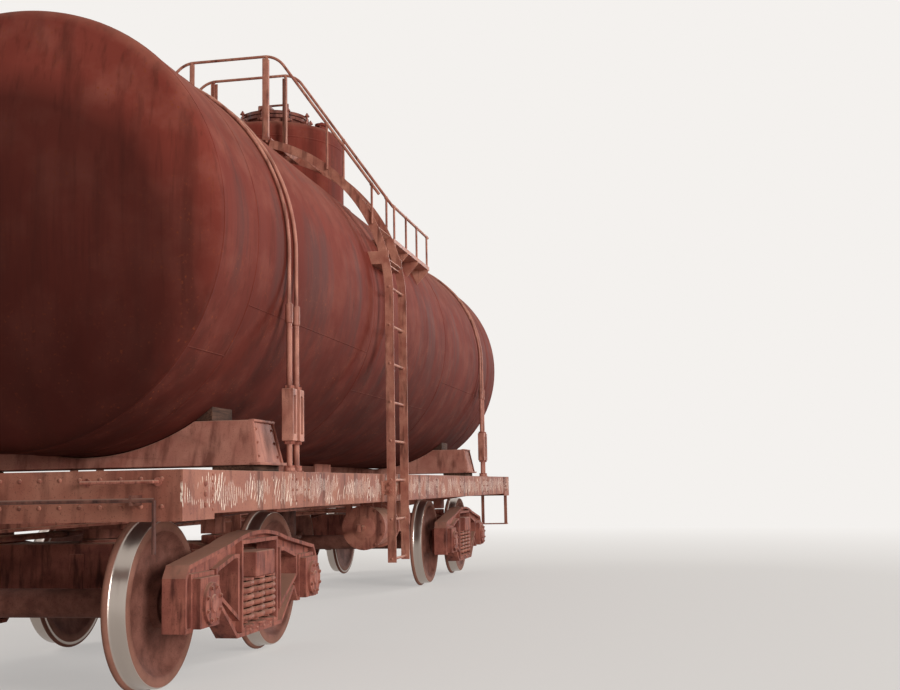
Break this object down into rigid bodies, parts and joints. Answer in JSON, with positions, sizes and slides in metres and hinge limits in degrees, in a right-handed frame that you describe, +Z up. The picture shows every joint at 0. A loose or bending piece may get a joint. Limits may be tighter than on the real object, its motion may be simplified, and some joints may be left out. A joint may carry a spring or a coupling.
{
  "type": "four-axle railway tank car",
  "caption": "Railway tank car: a dished tank with dome and hatch, strapped to a full-length frame with side ladders, on two spring bogies with turning wheelsets.",
  "frame": {"origin": "mid-car on the centre line, level with the lowest points of the wheel flanges", "axes": "+X along the car to its far end, +Y across it, +Z up; the ladder seen in the picture is on the -Y side"},
  "size_m": [12.02, 2.908, 4.9003],
  "materials": {
    "tank_paint": "weathered oil-stained paint",
    "hatch_steel": "oily cast steel",
    "timber": "old sawn timber",
    "strap_steel": "dusty painted bar",
    "ladder_paint": "worn painted flat bar",
    "wheel_steel": "rolled steel with a bright tread",
    "cast_bogie": "dusty cast steel",
    "spring_steel": "rusty spring steel",
    "coupler_steel": "greasy cast steel",
    "outlet_steel": "oily cast steel",
    "frame_paint": "rusted frame paint"
  },
  "bodies": {
    "car": {"air_reservoir": "frame_paint", "body_bolsters": "frame_paint", "bottom_outlet": "outlet_steel", "brake_cylinder": "frame_paint", "brake_rods": "frame_paint", "centre_sill": "frame_paint", "couplers": "coupler_steel", "cross_bearers": "frame_paint", "distributor_valve": "frame_paint", "dome": "tank_paint", "dome_footboards": "ladder_paint", "end_beams": "frame_paint", "handrails": "ladder_paint", "hatch_neck": "hatch_steel", "ladder_rungs": "ladder_paint", "ladder_stiles": "ladder_paint", "relief_valve": "hatch_steel", "saddle_brackets": "frame_paint", "side_sills": "frame_paint", "strap_rods": "strap_steel", "straps": "strap_steel", "tank_anchors": "frame_paint", "tank_barrel": "tank_paint", "tank_heads": "tank_paint", "timber_blocks": "timber", "train_pipe": "frame_paint", "turnbuckles": "strap_steel", "uncoupling_levers": "coupler_steel", "walkway": "ladder_paint"},
    "wheelset_1": {"axle_1": "wheel_steel", "wheels_1": "wheel_steel"},
    "wheelset_2": {"axle_2": "wheel_steel", "wheels_2": "wheel_steel"},
    "wheelset_3": {"axle_3": "wheel_steel", "wheels_3": "wheel_steel"},
    "wheelset_4": {"axle_4": "wheel_steel", "wheels_4": "wheel_steel"},
    "bogie_near": {"side_frames_near": "cast_bogie", "springs_near": "spring_steel", "bogie_bolster_near": "cast_bogie", "axle_boxes_near": "cast_bogie", "brake_rigging_near": "cast_bogie"},
    "bogie_far": {"side_frames_far": "cast_bogie", "springs_far": "spring_steel", "bogie_bolster_far": "cast_bogie", "axle_boxes_far": "cast_bogie", "brake_rigging_far": "cast_bogie"},
    "hatch_lid": {"hatch_lid": "hatch_steel"}
  },
  "joints": [
    {"name": "bogie_near_swivel", "type": "hinge", "parent": "car", "child": "bogie_near", "pos_m": [-3.56, 0, 0.834], "axis": [0, 0, 1], "range_deg": [-4, 4]},
    {"name": "bogie_far_swivel", "type": "hinge", "parent": "car", "child": "bogie_far", "pos_m": [3.56, 0, 0.834], "axis": [0, 0, 1], "range_deg": [-4, 4]},
    {"name": "wheelset_1_turn", "type": "hinge", "parent": "bogie_near", "child": "wheelset_1", "pos_m": [-4.485, 0, 0.503], "axis": [0, 1, 0], "continuous": true},
    {"name": "wheelset_2_turn", "type": "hinge", "parent": "bogie_near", "child": "wheelset_2", "pos_m": [-2.635, 0, 0.503], "axis": [0, 1, 0], "continuous": true},
    {"name": "wheelset_3_turn", "type": "hinge", "parent": "bogie_far", "child": "wheelset_3", "pos_m": [2.635, 0, 0.503], "axis": [0, 1, 0], "continuous": true},
    {"name": "wheelset_4_turn", "type": "hinge", "parent": "bogie_far", "child": "wheelset_4", "pos_m": [4.485, 0, 0.503], "axis": [0, 1, 0], "continuous": true},
    {"name": "hatch_hinge", "type": "hinge", "parent": "car", "child": "hatch_lid", "pos_m": [0.122, 0, 4.689], "axis": [0, 1, 0], "range_deg": [0, 105]}
  ]
}
